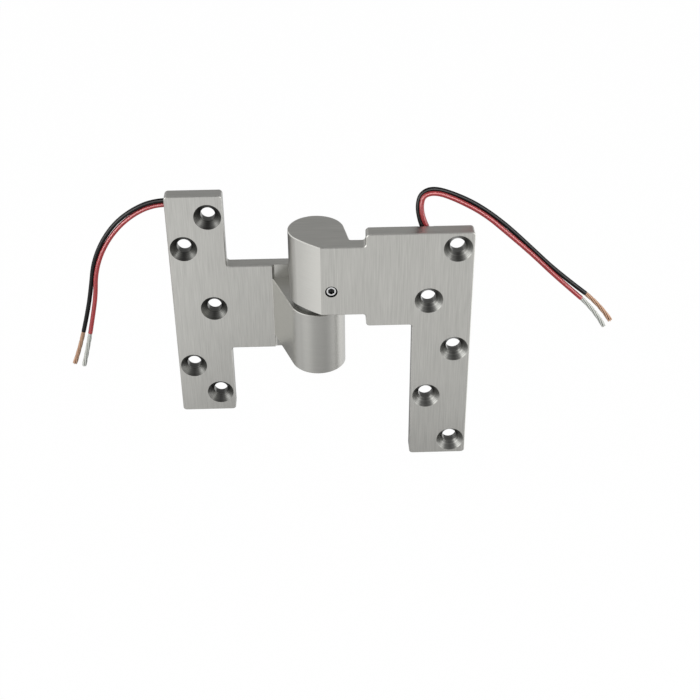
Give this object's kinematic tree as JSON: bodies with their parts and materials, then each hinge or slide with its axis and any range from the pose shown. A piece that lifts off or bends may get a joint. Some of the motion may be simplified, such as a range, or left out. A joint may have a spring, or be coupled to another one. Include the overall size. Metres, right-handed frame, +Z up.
{
  "type": "pivot hinge",
  "caption": "Offset intermediate pivot hinge in satin steel, opened flat, with countersunk screw holes, a thrust bearing between its knuckles and black and red wire leads on each leaf.",
  "frame": {"origin": "middle hole of the frame leaf's line of three, at the leaf's back face", "axes": "+Z up along the pivot axis, +X from the frame leaf to the opened door leaf, +Y out of both leaves' backs; the viewer and the screw heads are on the -Y side"},
  "size_m": [0.2264, 0.0413, 0.12],
  "materials": {
    "satin_steel": "satin, finely brushed",
    "ground_steel": "ground and hardened",
    "bearing_bronze": "turned",
    "sealing_resin": "cast",
    "black_insulation": "glossy",
    "red_insulation": "glossy",
    "bare_copper": "bright drawn strands",
    "tinned_copper": "tinned strands"
  },
  "bodies": {
    "frame_side": {"frame_leaf": "satin_steel", "lower_bush": "bearing_bronze", "bottom_plug": "satin_steel", "lower_washer": "ground_steel", "frame_wire_seal": "sealing_resin", "frame_lead_black": "black_insulation", "frame_lead_red": "red_insulation", "frame_copper_end": "bare_copper", "frame_tinned_end": "tinned_copper"},
    "door_side": {"door_leaf": "satin_steel", "pivot_pin": "ground_steel", "set_screw": "ground_steel", "middle_washer": "ground_steel", "upper_washer": "ground_steel", "door_wire_seal": "sealing_resin", "door_lead_black": "black_insulation", "door_lead_red": "red_insulation", "door_copper_end": "bare_copper", "door_tinned_end": "tinned_copper"}
  },
  "joints": [
    {"name": "leaf_swing", "type": "hinge", "parent": "frame_side", "child": "door_side", "pos_m": [0.04375, -0.0254, 0], "axis": [0, 0, 1], "range_deg": [-180, 0]}
  ]
}
